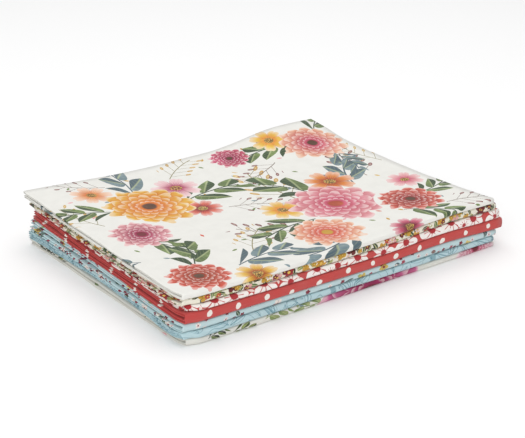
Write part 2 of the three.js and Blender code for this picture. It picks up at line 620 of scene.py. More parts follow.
def use(tree, group, **values):
    """Places a group in a tree; a name's underscores stand for its spaces."""
    node = tree.nodes.new("ShaderNodeGroup")
    node.node_tree = group
    for label, value in values.items():
        join(tree, value, node.inputs[label.replace("_", " ")])
    return node.outputs


def ink(red, green, blue):
    """A colour given as it looks on a screen, from 0 to 255, in the linear values that nodes use."""
    shares = (red / 255, green / 255, blue / 255)
    return tuple(v / 12.92 if v <= 0.04045 else ((v + 0.055) / 1.055) ** 2.4 for v in shares)


print("white cotton", [round(value, 3) for value in ink(240, 240, 234)])

# %% [markdown]
# ## Weave
#
# Quilting cotton is a plain weave of about 24 threads to the centimetre. It is too fine to see from a
# step away, but it softens every highlight, so each print has it as a slight bump. Thicker yarns here
# and there and a little unevenness in the dye keep a plain ground from looking like plastic. Two sine
# waves across each other are enough, because no thread is ever seen by itself.

# %% Weave group
# The width of a thread in decimetres, how noise is drawn out into yarns, how far those stand out, and
# how fine the unevenness of the dye is.
THREAD = 0.0042
YARN_STRETCH = (6, 260, 1)
YARN_HEIGHT = 0.6
DYE_SCALE = 9.0

weave_group, given, end = new_group(
    "cotton weave",
    [("Place", "vector", None)],
    [("Height", "number"), ("Slub", "number"), ("Mottle", "number")],
)
along, across = split(weave_group, given["Place"])
warp = number(weave_group, "SINE", number(weave_group, "MULTIPLY", along, math.pi / THREAD))
weft = number(weave_group, "SINE", number(weave_group, "MULTIPLY", across, math.pi / THREAD))
crossing = number(weave_group, "MULTIPLY", warp, weft)
stretched = weave_group.nodes.new("ShaderNodeMapping")
stretched.inputs["Scale"].default_value = YARN_STRETCH
join(weave_group, given["Place"], stretched.inputs["Vector"])
slub = clouds(weave_group, stretched.outputs[0], 1.0, 1.0)
height = number(weave_group, "MULTIPLY_ADD", slub, YARN_HEIGHT, crossing)
join(weave_group, height, end.inputs["Height"])
join(weave_group, slub, end.inputs["Slub"])
join(weave_group, clouds(weave_group, given["Place"], DYE_SCALE, 3.0), end.inputs["Mottle"])
print("weave of", round(10 / (THREAD * 100), 1), "threads to the centimetre")

# %% [markdown]
# ## Motifs
#
# The prints share a few motifs, each drawn once in a unit of its own: a full flower of pointed petals
# in rings, an open flower of a few broad petals, a leafy spray, a spray of berries, and little flowers
# and leaves strewn over the whole cloth. They are plain garden shapes, worked out from polar
# coordinates and from leaning cells along a stem. Nothing in them is copied from the photograph.
#
# An image is the usual way to print a cloth. Node groups stay sharp at any distance, repeat without a
# seam and take other colours on every cloth, so they are used here.

# %% [markdown]
# ## Full flower
#
# A double flower is rings of petals, each lying over the next one out. A petal's outline is a curve
# round the middle, and every ring is that curve again, smaller and turned by half a petal. The rings are
# laid from the outside in, and each gets darker towards its root, as petals do in one another's shade.

# %% Full flower
RING_EDGES = (1.0, 0.82, 0.64, 0.47, 0.31, 0.17)
PETAL_POINT = 2.2
PETAL_DROP = 0.2
PETAL_LIGHT = (1.0, 0.93, 0.88)


def petal_phase(tree, place, petals, shift):
    """0 along the middle of a petal, 1 between two petals."""
    x, y = split(tree, place)
    angle = number(tree, "DIVIDE", number(tree, "ARCTAN2", y, x), 2 * math.pi)
    return zigzag(tree, number(tree, "MULTIPLY_ADD", angle, petals, shift))


full_group, given, end = new_group(
    "full flower",
    [
        ("Place", "vector", None),
        ("Petals", "number", 13.0),
        ("Outer", "colour", ink(236, 180, 176)),
        ("Inner", "colour", ink(205, 96, 96)),
        ("Heart", "colour", ink(120, 70, 40)),
    ],
    [("Mask", "number"), ("Colour", "colour")],
)
tree = full_group
wobble = ease(tree, clouds(tree, given["Place"], 2.6, 1.0), 0.3, 0.7, 0.93, 1.09)
radius = number(tree, "MULTIPLY", arrow(tree, "LENGTH", given["Place"]), wobble)
phases = [petal_phase(tree, given["Place"], given["Petals"], shift) for shift in (0.0, 0.5)]
points = [number(tree, "POWER", phase, PETAL_POINT) for phase in phases]
tips = [number(tree, "MULTIPLY_ADD", point, -PETAL_DROP, 1.0) for point in points]
edges = [number(tree, "MULTIPLY", tips[ring % 2], edge) for ring, edge in enumerate(RING_EDGES)]
shade = ease(tree, radius, edges[1], edges[0])
seam = phases[0]
for ring in range(1, len(edges) - 1):
    rise = ease(tree, radius, edges[ring + 1], edges[ring])
    inside = number(tree, "LESS_THAN", radius, edges[ring])
    shade = lay(tree, inside, shade, rise, "FLOAT")
    seam = lay(tree, inside, seam, phases[ring % 2], "FLOAT")
colour = lay(tree, ease(tree, radius, 0.12, 0.95), given["Inner"], given["Outer"])
deep = lay(tree, 0.55, colour, given["Inner"], blend="MULTIPLY")
colour = lay(tree, number(tree, "POWER", shade, 0.6), deep, colour)
colour = lay(tree, ease(tree, shade, 0.55, 1.0, 0.0, 0.4), colour, PETAL_LIGHT)
colour = lay(tree, ease(tree, seam, 0.72, 1.0, 0.0, 0.55), colour, deep)
colour = lay(tree, ease(tree, radius, 0.19, 0.13), colour, given["Heart"])
join(tree, number(tree, "LESS_THAN", radius, edges[0]), end.inputs["Mask"])
join(tree, colour, end.inputs["Colour"])
print("full flower:", len(RING_EDGES) - 1, "rings of petals,", len(tree.nodes), "nodes")

# %% [markdown]
# ## Open flower
#
# A single flower shows a few broad petals with a notch in each tip, a darker throat that runs out along
# fine rays, and a speckled heart. One ring is enough for it, so it has fewer nodes than a full flower.

# %% Open flower
NOTCH = 0.07
RAYS_A_PETAL = 5.0
OPEN_HEART = 0.24
PALE_PETAL = (1.0, 0.95, 0.9)
POLLEN = (0.78, 0.5, 0.12)

open_group, given, end = new_group(
    "open flower",
    [
        ("Place", "vector", None),
        ("Petals", "number", 7.0),
        ("Petal", "colour", ink(236, 170, 90)),
        ("Throat", "colour", ink(180, 70, 50)),
        ("Heart", "colour", ink(90, 60, 40)),
    ],
    [("Mask", "number"), ("Colour", "colour")],
)
tree = open_group
radius = arrow(tree, "LENGTH", given["Place"])
phase = petal_phase(tree, given["Place"], given["Petals"], 0.0)
edge = number(tree, "MULTIPLY_ADD", number(tree, "POWER", phase, 3.0), -0.42, 1.0)
edge = number(tree, "SUBTRACT", edge, ease(tree, phase, 0.0, 0.3, NOTCH, 0.0))
reach = number(tree, "DIVIDE", radius, edge)
ray_count = number(tree, "MULTIPLY", given["Petals"], RAYS_A_PETAL)
rays = petal_phase(tree, given["Place"], ray_count, 0.0)
throat = ease(tree, number(tree, "MULTIPLY_ADD", rays, 0.22, radius), 0.75, 0.28)
pale = lay(tree, 0.45, given["Petal"], PALE_PETAL)
colour = lay(tree, ease(tree, reach, 0.55, 1.0), given["Petal"], pale)
colour = lay(tree, throat, colour, given["Throat"])
deep = lay(tree, 0.6, colour, given["Throat"], blend="MULTIPLY")
colour = lay(tree, ease(tree, phase, 0.7, 1.0, 0.0, 0.7), colour, deep)
colour = lay(tree, ease(tree, rays, 0.75, 1.0, 0.0, 0.25), colour, deep)
speckle = ease(tree, clouds(tree, given["Place"], 16.0, 1.0), 0.45, 0.6)
centre = lay(tree, speckle, given["Heart"], POLLEN)
colour = lay(tree, number(tree, "LESS_THAN", radius, OPEN_HEART), colour, centre)
join(tree, number(tree, "LESS_THAN", radius, edge), end.inputs["Mask"])
join(tree, colour, end.inputs["Colour"])
print("open flower:", len(tree.nodes), "nodes")

# %% [markdown]
# ## Sprays
#
# A spray is a bowed stem with leaves or berries on both sides. Laying every leaf as a motif of its own
# would take dozens of nodes each. Instead the space on each side of the stem is cut into leaning cells,
# and one leaf, or one berry on its twig, is drawn in all of them at once, shorter towards the tip.

# %% Leaning cells
def leaning_cells(tree, place, bow, slant, pairs, reach):
    """Cells along a stem from (0, 0) to (1, 0): how far out, how far across, and height over the stem."""
    x, y = split(tree, place)
    curve = number(tree, "MULTIPLY", x, number(tree, "SUBTRACT", 1.0, x))
    y = number(tree, "SUBTRACT", y, number(tree, "MULTIPLY", curve, bow))
    upper = number(tree, "GREATER_THAN", y, 0.0)
    off = number(tree, "ABSOLUTE", y)
    root = number(tree, "SUBTRACT", x, number(tree, "MULTIPLY", off, slant))
    cell = number(tree, "MULTIPLY_ADD", root, pairs, number(tree, "MULTIPLY", upper, 0.5))
    across = number(tree, "MULTIPLY_ADD", number(tree, "FRACT", cell), 2.0, -1.0)
    length = number(tree, "MULTIPLY", number(tree, "MULTIPLY_ADD", root, -0.55, 1.1), reach)
    out = number(tree, "DIVIDE", off, length)
    on_stem = between(tree, x, 0.0, 1.0)
    has_leaf = between(tree, root, 0.02, 0.98)
    return out, across, off, on_stem, has_leaf, length


# How far the leaves and the berries lean and reach, how thick their stems are, where on its twig a
# berry sits and how thick the twig is, all as shares of the stem's length.
LEAF_SLANT = 1.1
LEAF_REACH = 0.36
LEAF_STEM = 0.012
BERRY_SLANT = 0.9
BERRY_REACH = 0.3
BERRY_STEM = 0.008
BERRY_AT = 0.86
TWIG = 0.006
print("leaves lean by", round(math.degrees(math.atan(LEAF_SLANT))), "degrees from square to the stem")

# %% Leafy spray
leaf_group, given, end = new_group(
    "leafy spray",
    [
        ("Place", "vector", None),
        ("Pairs", "number", 3.0),
        ("Bow", "number", 0.2),
        ("Leaf", "colour", ink(112, 132, 78)),
        ("Shade", "colour", ink(62, 84, 56)),
    ],
    [("Mask", "number"), ("Colour", "colour")],
)
tree = leaf_group
out, across, off, on_stem, has_leaf, _ = leaning_cells(
    tree, given["Place"], given["Bow"], LEAF_SLANT, given["Pairs"], LEAF_REACH
)
belly = number(tree, "SINE", number(tree, "MULTIPLY", number(tree, "POWER", out, 0.85), math.pi))
side = number(tree, "ABSOLUTE", across)
leaf = number(tree, "LESS_THAN", side, number(tree, "MULTIPLY", belly, 0.86))
leaf = both(tree, leaf, number(tree, "LESS_THAN", out, 1.0))
leaf = both(tree, leaf, has_leaf)
stem = both(tree, number(tree, "LESS_THAN", off, LEAF_STEM), on_stem)
half = number(tree, "GREATER_THAN", across, 0.0)
colour = lay(tree, half, given["Leaf"], given["Shade"])
wash = ease(tree, clouds(tree, given["Place"], 4.0, 2.0), 0.35, 0.65, 0.0, 0.5)
colour = lay(tree, wash, colour, given["Shade"])
vein = ease(tree, side, 0.14, 0.04, 0.0, 0.6)
ribs = zigzag(tree, number(tree, "MULTIPLY_ADD", out, 5.0, number(tree, "MULTIPLY", side, -0.8)))
vein = number(tree, "MAXIMUM", vein, ease(tree, ribs, 0.8, 1.0, 0.0, 0.3))
colour = lay(tree, vein, colour, ink(190, 200, 150))
colour = lay(tree, stem, colour, given["Shade"])
join(tree, number(tree, "MAXIMUM", leaf, stem), end.inputs["Mask"])
join(tree, colour, end.inputs["Colour"])
print("leafy spray:", len(tree.nodes), "nodes")

# %% Berry spray
berry_group, given, end = new_group(
    "berry spray",
    [
        ("Place", "vector", None),
        ("Pairs", "number", 5.0),
        ("Bow", "number", 0.2),
        ("Size", "number", 0.03),
        ("Berry", "colour", ink(200, 160, 60)),
        ("Twig", "colour", ink(110, 96, 70)),
    ],
    [("Mask", "number"), ("Colour", "colour")],
)
tree = berry_group
out, across, off, on_stem, has_berry, length = leaning_cells(
    tree, given["Place"], given["Bow"], BERRY_SLANT, given["Pairs"], BERRY_REACH
)
along_twig = number(tree, "MULTIPLY", number(tree, "SUBTRACT", out, BERRY_AT), length)
beside = number(tree, "DIVIDE", across, number(tree, "MULTIPLY", given["Pairs"], 2.0))
away = distance(tree, along_twig, beside)
berry = both(tree, number(tree, "LESS_THAN", away, given["Size"]), has_berry)
thin = number(tree, "LESS_THAN", number(tree, "ABSOLUTE", beside), TWIG)
twig = both(tree, thin, number(tree, "LESS_THAN", out, BERRY_AT))
twig = both(tree, twig, has_berry)
stem = both(tree, number(tree, "LESS_THAN", off, BERRY_STEM), on_stem)
twig = number(tree, "MAXIMUM", twig, stem)
glint = ease(tree, away, 0.0, given["Size"], 0.5, 0.0)
colour = lay(tree, glint, given["Berry"], (1.0, 0.9, 0.75))
colour = lay(tree, berry, given["Twig"], colour)
join(tree, number(tree, "MAXIMUM", berry, twig), end.inputs["Mask"])
join(tree, colour, end.inputs["Colour"])
print("berry spray:", len(tree.nodes), "nodes")

# %% [markdown]
# ## Strewn flowers and leaves
#
# A small all-over print has little flowers and leaves in no clear order. A Voronoi texture cuts the
# cloth into uneven cells and gives each a middle and three random values. One motif is drawn round
# every middle, and its turn, its size, its tone and whether it shows at all come from those values.

# %% Uneven cells
FULL_TURN = 6.28


def strewn_cells(tree, place, spread):
    """Uneven cells: the place seen from the middle of each, and three random values for it."""
    node = tree.nodes.new("ShaderNodeTexVoronoi")
    node.voronoi_dimensions = "2D"
    node.inputs["Scale"].default_value = 1.0
    join(tree, spread, node.inputs["Randomness"])
    join(tree, place, node.inputs["Vector"])
    local = arrow(tree, "SUBTRACT", place, node.outputs["Position"])
    chances = tree.nodes.new("ShaderNodeSeparateColor")
    join(tree, node.outputs["Color"], chances.inputs[0])
    return local, chances.outputs[0], chances.outputs[1], chances.outputs[2]


def turned(tree, place, chance):
    """The place turned about the middle, a full turn at most."""
    node = tree.nodes.new("ShaderNodeVectorRotate")
    node.rotation_type = "Z_AXIS"
    join(tree, place, node.inputs["Vector"])
    join(tree, number(tree, "MULTIPLY", chance, FULL_TURN), node.inputs["Angle"])
    return node.outputs[0]


print("a strewn motif is turned by up to", round(math.degrees(FULL_TURN)), "degrees")

# %% Strewn flowers
STREWN_HEART = 0.26

strewn_flower_group, given, end = new_group(
    "strewn flowers",
    [
        ("Place", "vector", None),
        ("Petals", "number", 5.0),
        ("Size", "number", 0.4),
        ("Notch", "number", 0.35),
        ("Share", "number", 1.0),
        ("Spread", "number", 0.6),
    ],
    [(label, "number") for label in ("Mask", "Heart", "Seam", "Reach", "Kind")],
)
tree = strewn_flower_group
local, first, second, third = strewn_cells(tree, given["Place"], given["Spread"])
local = turned(tree, local, first)
radius = arrow(tree, "LENGTH", local)
phase = petal_phase(tree, local, given["Petals"], 0.0)
size = number(tree, "MULTIPLY", given["Size"], number(tree, "MULTIPLY_ADD", second, 0.35, 0.75))
drop = number(tree, "MULTIPLY", number(tree, "POWER", phase, 2.0), given["Notch"])
edge = number(tree, "MULTIPLY", size, number(tree, "SUBTRACT", 1.0, drop))
reach = number(tree, "DIVIDE", radius, edge)
shown = number(tree, "LESS_THAN", third, given["Share"])
heart = number(tree, "LESS_THAN", radius, number(tree, "MULTIPLY", size, STREWN_HEART))
join(tree, both(tree, number(tree, "LESS_THAN", reach, 1.0), shown), end.inputs["Mask"])
join(tree, both(tree, heart, shown), end.inputs["Heart"])
join(tree, phase, end.inputs["Seam"])
join(tree, reach, end.inputs["Reach"])
join(tree, first, end.inputs["Kind"])
print("strewn flowers:", len(tree.nodes), "nodes")

# %% Strewn leaves
LEAF_SPREAD = 0.9

strewn_leaf_group, given, end = new_group(
    "strewn leaves",
    [
        ("Place", "vector", None),
        ("Length", "number", 0.4),
        ("Width", "number", 0.14),
        ("Share", "number", 1.0),
    ],
    [("Mask", "number"), ("Vein", "number"), ("Kind", "number")],
)
tree = strewn_leaf_group
local, first, second, third = strewn_cells(tree, given["Place"], LEAF_SPREAD)
x, y = split(tree, turned(tree, local, second))
x = number(tree, "DIVIDE", x, given["Length"])
y = number(tree, "DIVIDE", y, given["Width"])
belly = number(tree, "SUBTRACT", 1.0, number(tree, "POWER", x, 2.0))
side = number(tree, "ABSOLUTE", y)
shown = number(tree, "LESS_THAN", third, given["Share"])
join(tree, both(tree, number(tree, "LESS_THAN", side, belly), shown), end.inputs["Mask"])
join(tree, ease(tree, side, 0.22, 0.08), end.inputs["Vein"])
join(tree, first, end.inputs["Kind"])
print("node groups", sorted(group.name for group in bpy.data.node_groups))

# %% [markdown]
# ## The prints
#
# Each print below is a recipe: it gets the tree and the flat place in decimetres and gives back one
# colour. The small prints repeat without end. The two with large flowers list their flowers and
# sprays by place, size and turn, in millimetres of the cloth, measured from the two folds.

# %% Laying listed motifs
DM = 0.01

# A place outside every motif, and a flower's own circle as a share of its radius.
NOWHERE = (9.0, 9.0, 0.0)
FLOWER_REACH = 1.12


def lay_flowers(tree, place, ground, group, flowers, **petals):
    """Lays flowers that don't touch one another: (x, y, radius, turn, petal, inner, heart) in mm."""
    local = NOWHERE
    colours = [flower[4] for flower in flowers]
    inners = [flower[5] for flower in flowers]
    hearts = [flower[6] for flower in flowers]
    kind = 0.0
    for index, (x, y, radius, turn, *_) in enumerate(flowers):
        seen = placed(tree, place, (x * DM, y * DM), radius * DM, math.radians(turn))
        inside = number(tree, "LESS_THAN", arrow(tree, "LENGTH", seen), FLOWER_REACH)
        local = lay(tree, inside, local, seen, "VECTOR")
        kind = lay(tree, inside, kind, (index + 0.5) / len(flowers), "FLOAT")
    names = {"full flower": ("Outer", "Inner", "Heart"), "open flower": ("Petal", "Throat", "Heart")}
    tones = zip(names[group.name], (colours, inners, hearts))
    values = {name: palette(tree, kind, tone) for name, tone in tones}
    drawn = use(tree, group, Place=local, **values, **petals)
    return lay(tree, drawn["Mask"], ground, drawn["Colour"])


def lay_spray(tree, place, ground, group, at, size, turn, **values):
    """Lays one spray, its root at a place in mm."""
    seen = placed(tree, place, (at[0] * DM, at[1] * DM), size * DM, math.radians(turn))
    drawn = use(tree, group, Place=seen, **values)
    return lay(tree, drawn["Mask"], ground, drawn["Colour"])


def zoomed(tree, place, pitch, shift=(0.0, 0.0)):
    """The place in units of a pitch in millimetres."""
    moved = arrow(tree, "ADD", place, (shift[0] * DM, shift[1] * DM, 0.0))
    return arrow(tree, "SCALE", moved, 1 / (pitch * DM))


print("a flower is given", FLOWER_REACH, "times its radius")

# %% Inks
OFF_WHITE = ink(243, 242, 236)
PINK = ink(238, 176, 180)
ROSE = ink(212, 96, 124)
PEACH = ink(244, 196, 162)
CORAL = ink(224, 104, 84)
ORANGE = ink(232, 142, 62)
GOLD = ink(236, 190, 74)
MAGENTA = ink(176, 48, 96)
RUST = ink(176, 74, 44)
OCHRE = ink(206, 160, 58)
LEAF_GREEN = ink(122, 142, 84)
DEEP_GREEN = ink(62, 82, 56)
BLUE_GREY = ink(132, 152, 158)
SLATE = ink(84, 104, 114)
MAROON = ink(120, 34, 48)
BARK = ink(92, 62, 44)
OLIVE_TWIG = ink(150, 140, 96)
GREY_TWIG = ink(120, 96, 84)
print("off-white", [round(value, 3) for value in OFF_WHITE], "and bark", [round(value, 3) for value in BARK])

# %% [markdown]
# ## The top cloth
#
# The top cloth is off-white with large flowers in pink, coral and gold, over blue-grey and green
# sprays. Large motifs can't be left to chance, or they would overlap, so each has its place in a list.
# The flowers of one kind don't touch, so one node group draws all of them.

# %% Where the large flowers lie
# Full and open flowers: x, y, radius, turn, petal, inner and heart.
FULL_FLOWERS = [
    (188, 74, 37, 10, PINK, ROSE, RUST),
    (236, 44, 25, 40, CORAL, ink(170, 56, 52), BARK),
    (146, 34, 27, 75, PEACH, CORAL, OCHRE),
    (70, 148, 35, 30, GOLD, ORANGE, BARK),
    (34, 104, 23, 5, PINK, MAGENTA, MAROON),
    (252, 178, 29, 55, PEACH, ROSE, BARK),
    (28, 22, 22, 20, CORAL, RUST, BARK),
    (178, 196, 17, 20, ROSE, MAGENTA, BARK),
]
OPEN_FLOWERS = [
    (214, 112, 21, 15, ORANGE, RUST, BARK),
    (148, 88, 18, 50, GOLD, ORANGE, BARK),
    (106, 168, 20, 30, ink(240, 190, 196), MAGENTA, MAROON),
    (100, 124, 16, 70, CORAL, MAROON, BARK),
    (42, 186, 17, 12, PEACH, ORANGE, BARK),
    (62, 4, 16, 33, GOLD, RUST, BARK),
    (222, 200, 17, 60, GOLD, ORANGE, BARK),
    (262, 78, 15, 25, PINK, ROSE, BARK),
    (196, 2, 15, 48, ROSE, MAROON, BARK),
]

# Leafy sprays: x, y, length, turn, leaf and shade.
LEAFY_SPRAYS = [
    (188, 96, 58, 118, LEAF_GREEN, DEEP_GREEN),
    (226, 96, 52, 58, BLUE_GREY, SLATE),
    (156, 60, 54, 190, LEAF_GREEN, DEEP_GREEN),
    (160, 22, 56, 196, BLUE_GREY, SLATE),
    (250, 50, 40, 14, LEAF_GREEN, DEEP_GREEN),
    (216, 30, 46, -52, LEAF_GREEN, DEEP_GREEN),
    (72, 172, 48, 84, BLUE_GREY, SLATE),
    (98, 142, 56, 8, LEAF_GREEN, DEEP_GREEN),
    (40, 150, 44, 168, LEAF_GREEN, DEEP_GREEN),
    (30, 90, 40, -64, LEAF_GREEN, DEEP_GREEN),
    (238, 186, 48, 176, LEAF_GREEN, DEEP_GREEN),
    (254, 158, 40, -96, BLUE_GREY, SLATE),
    (34, 36, 42, 70, LEAF_GREEN, DEEP_GREEN),
    (60, 22, 48, 4, BLUE_GREY, SLATE),
    (8, 62, 36, 165, BLUE_GREY, SLATE),
    (268, 196, 40, 40, LEAF_GREEN, DEEP_GREEN),
]

# Berry sprays: x, y, length, turn, pairs, berry and twig.
BERRY_SPRAYS = [
    (170, 100, 64, 88, 6, OCHRE, OLIVE_TWIG),
    (246, 104, 56, 74, 5, MAROON, GREY_TWIG),
    (136, 46, 50, 140, 5, MAROON, GREY_TWIG),
    (112, 186, 46, 34, 5, OCHRE, OLIVE_TWIG),
    (118, 116, 44, -24, 5, MAROON, GREY_TWIG),
    (20, 130, 44, 108, 4, OCHRE, OLIVE_TWIG),
    (82, 36, 46, 48, 5, OCHRE, OLIVE_TWIG),
    (204, 168, 46, 200, 5, MAROON, GREY_TWIG),
    (276, 120, 40, 100, 4, OCHRE, OLIVE_TWIG),
    (250, 20, 44, -20, 5, MAROON, GREY_TWIG),
    (60, 196, 40, 150, 4, MAROON, GREY_TWIG),
]
print(len(FULL_FLOWERS) + len(OPEN_FLOWERS), "flowers and", len(LEAFY_SPRAYS) + len(BERRY_SPRAYS), "sprays")

# %% Large flowers, the top cloth
# The corners of one repeat in decimetres, and the bows of a leafy spray that bends each way.
REPEAT_END = (3.0, 2.3, 1.0)
REPEAT_START = (-0.2, -0.2, -1.0)
LEAF_BOWS = (-0.25, 0.3)


def brushed(tree, place, colour, ground):
    """Colour as if brushed on wet: lighter pools and darker rims inside whatever isn't ground."""
    fine = clouds(tree, place, 11.0, 3.0, 0.6)
    broad = clouds(tree, place, 3.4, 2.0)
    pool = number(tree, "MULTIPLY_ADD", broad, 0.6, number(tree, "MULTIPLY", fine, 0.4))
    printed = ease(tree, arrow(tree, "LENGTH", arrow(tree, "SUBTRACT", colour, ground)), 0.03, 0.2)
    light = both(tree, ease(tree, pool, 0.52, 0.66, 0.0, 0.55), printed)
    dark = both(tree, ease(tree, pool, 0.48, 0.34, 0.0, 0.35), printed)
    colour = lay(tree, light, colour, colour, blend="SCREEN")
    return lay(tree, dark, colour, colour, blend="MULTIPLY")


def large_flower_print(tree, place):
    repeat = arrow(tree, "WRAP", place, REPEAT_END, REPEAT_START)
    bent = swayed(tree, repeat, 2.2, 1.0, 0.05)
    buds = use(
        tree, strewn_leaf_group, Place=zoomed(tree, repeat, 19), Length=0.14, Width=0.055, Share=0.3,
    )
    tone = palette(tree, buds["Kind"], [PINK, OCHRE, BLUE_GREY, CORAL, LEAF_GREEN])
    colour = lay(tree, buds["Mask"], OFF_WHITE, tone)
    for x, y, size, turn, pairs, berry, twig in BERRY_SPRAYS:
        colour = lay_spray(
            tree, bent, colour, berry_group, (x, y), size, turn,
            Pairs=pairs, Berry=berry, Twig=twig, Size=0.042, Bow=0.25,
        )
    for index, (x, y, size, turn, leaf, shade) in enumerate(LEAFY_SPRAYS):
        colour = lay_spray(
            tree, bent, colour, leaf_group, (x, y), size, turn,
            Leaf=leaf, Shade=shade, Bow=LEAF_BOWS[index % 2], Pairs=2.0 + index % 3 * 0.5,
        )
    colour = lay_flowers(tree, bent, colour, open_group, OPEN_FLOWERS, Petals=7.0)
    colour = lay_flowers(tree, bent, colour, full_group, FULL_FLOWERS, Petals=13.0)
    return brushed(tree, repeat, colour, OFF_WHITE)


repeat_size = [round((end - start) * 100) for end, start in zip(REPEAT_END[:2], REPEAT_START[:2])]
print("the top print repeats after", repeat_size, "mm")

# %% [markdown]
# ## Small mixed flowers on cream
#
# This cloth is so densely printed that little cream shows: two layers of leaves, and over them two
# layers of flowers of different sizes. Two layers at odd pitches hide the order of the cells.

# %% Small flowers on cream
# Leaves: the pitch of the cells, their shift and the tones.
SMALL_LEAVES = (
    (8.5, (3, 5), (ink(96, 118, 70), DEEP_GREEN, ink(150, 158, 92), ink(30, 44, 32))),
    (6.0, (11, 2), (ink(40, 56, 38), ink(158, 160, 100), ink(40, 34, 30), ink(110, 128, 86))),
)
LARGER_TONES = (ink(172, 42, 48), ink(214, 160, 60), ink(232, 176, 170), ink(110, 36, 34), OCHRE)
SMALLER_TONES = (ink(240, 214, 206), MAROON, OCHRE, ink(196, 74, 60), ink(246, 240, 226))

# Flowers: pitch, shift, size, share of the cells and tones.
SMALL_FLOWERS = (
    (12.5, (2, 3), 0.4, 0.85, LARGER_TONES),
    (8.0, (7, 9), 0.32, 0.7, SMALLER_TONES),
)


def small_flower_print(tree, place):
    colour = lay(tree, clouds(tree, place, 14.0), ink(246, 242, 230), ink(238, 232, 210))
    for pitch, shift, tones in SMALL_LEAVES:
        seen = zoomed(tree, place, pitch, shift)
        leaves = use(tree, strewn_leaf_group, Place=seen, Length=0.56, Width=0.2, Share=0.8)
        tone = palette(tree, leaves["Kind"], tones)
        tone = lay(tree, leaves["Vein"], tone, ink(214, 212, 160))
        colour = lay(tree, leaves["Mask"], colour, tone)
    for pitch, shift, size, share, tones in SMALL_FLOWERS:
        seen = zoomed(tree, place, pitch, shift)
        flowers = use(tree, strewn_flower_group, Place=seen, Size=size, Share=share, Notch=0.4)
        tone = palette(tree, flowers["Kind"], tones)
        dark = lay(tree, 0.5, tone, ink(90, 30, 30), blend="MULTIPLY")
        tone = lay(tree, ease(tree, flowers["Seam"], 0.6, 0.95), tone, dark)
        tone = lay(tree, ease(tree, flowers["Reach"], 0.7, 0.2, 0.0, 0.6), tone, dark)
        tone = lay(tree, flowers["Heart"], tone, ink(232, 190, 90))
        colour = lay(tree, flowers["Mask"], colour, tone)
    return colour


print("small flowers about", [row[0] for row in SMALL_FLOWERS], "mm apart")

# %% [markdown]
# ## White flowers on red
#
# White flowers stand close together on red, each with a red line between its petals, a fleck along
# each and a red heart. The lines come from the same petal phase as the outline, so they always fit.

# %% White flowers on red
RED = ink(199, 72, 70)

# Pitch, shift, size and share of the cells.
WHITE_FLOWERS = ((21, (4, 2), 0.58, 1.0), (14, (9, 5), 0.46, 0.4))


def red_flower_print(tree, place):
    seeds = use(tree, strewn_leaf_group, Place=zoomed(tree, place, 7.5, (2, 6)), Length=0.4, Width=0.16)
    colour = lay(tree, seeds["Mask"], RED, ink(246, 222, 214))
    for pitch, shift, size, share in WHITE_FLOWERS:
        flowers = use(
            tree, strewn_flower_group, Place=zoomed(tree, place, pitch, shift),
            Size=size, Share=share, Notch=0.45, Spread=0.35,
        )
        petal = lay(tree, ease(tree, flowers["Reach"], 0.15, 0.5), ink(244, 206, 200), ink(253, 247, 242))
        fleck = ease(tree, flowers["Seam"], 0.1, 0.04)
        fleck = both(tree, fleck, ease(tree, flowers["Reach"], 0.72, 0.6))
        stroke = number(tree, "MAXIMUM", ease(tree, flowers["Seam"], 0.84, 0.94), fleck)
        petal = lay(tree, stroke, petal, ink(196, 60, 62))
        petal = lay(tree, flowers["Heart"], petal, ink(178, 44, 50))
        colour = lay(tree, flowers["Mask"], colour, petal)
    return colour


print("white flowers about", [row[0] for row in WHITE_FLOWERS], "mm apart")

# %% [markdown]
# ## White dots on red
#
# The dots stand in rows, every other row shifted by half a pitch. Ruled rows would look like paper, so
# they sway a little, and each dot has a slightly ragged edge. The rows are also set so that dots fall
# on the wrap at the front, as they do in the photograph.

# %% White dots on red
# In millimetres: the pitch along a row, the distance between rows, the dots' radius and how ragged
# their edge is, the shift at the front fold and further back, and how far back that is reached.
DOT_PITCH = 22.5
DOT_ROWS = 16.5
DOT_RADIUS = 2.05
DOT_RAGGED = 0.25
DOT_STARTS = (3.5, 1.0)
DOT_DRIFT = 20.0


def red_dot_print(tree, place):
    bent = swayed(tree, place, 1.7, 2.0, 0.13)
    x, y = split(tree, arrow(tree, "ADD", bent, (0.0, DOT_ROWS / 2 * DM, 0.0)))
    from_front = number(tree, "ABSOLUTE", split(tree, place)[1])
    start, further = (value * DM for value in DOT_STARTS)
    x = number(tree, "ADD", x, ease(tree, from_front, 0.0, DOT_DRIFT * DM, start, further))
    row = number(tree, "FLOOR", number(tree, "DIVIDE", y, DOT_ROWS * DM))
    shift = number(tree, "MULTIPLY", number(tree, "FLOORED_MODULO", row, 2.0), DOT_PITCH / 2 * DM)
    x = number(tree, "ADD", x, shift)
    across = number(tree, "WRAP", x, DOT_PITCH / 2 * DM, -DOT_PITCH / 2 * DM)
    off = number(tree, "SUBTRACT", y, number(tree, "MULTIPLY_ADD", row, DOT_ROWS * DM, DOT_ROWS / 2 * DM))
    away = distance(tree, across, off)
    least = (DOT_RADIUS - DOT_RAGGED) * DM
    most = (DOT_RADIUS + DOT_RAGGED) * DM
    radius = ease(tree, clouds(tree, place, 40.0, 2.0), 0.25, 0.75, least, most)
    wash = lay(tree, clouds(tree, place, 5.0, 3.0), ink(196, 70, 68), ink(204, 80, 76))
    return lay(tree, number(tree, "LESS_THAN", away, radius), wash, ink(247, 240, 232))


print("dots of", 2 * DOT_RADIUS, "mm,", DOT_PITCH, "mm apart in rows", DOT_ROWS, "mm apart")

# %% [markdown]
# ## Flowers and berries on blue
#
# Small white flowers, dark leaves and maroon berries are scattered thinly over light blue. The berries
# are strewn flowers too, so small that their petals run together.

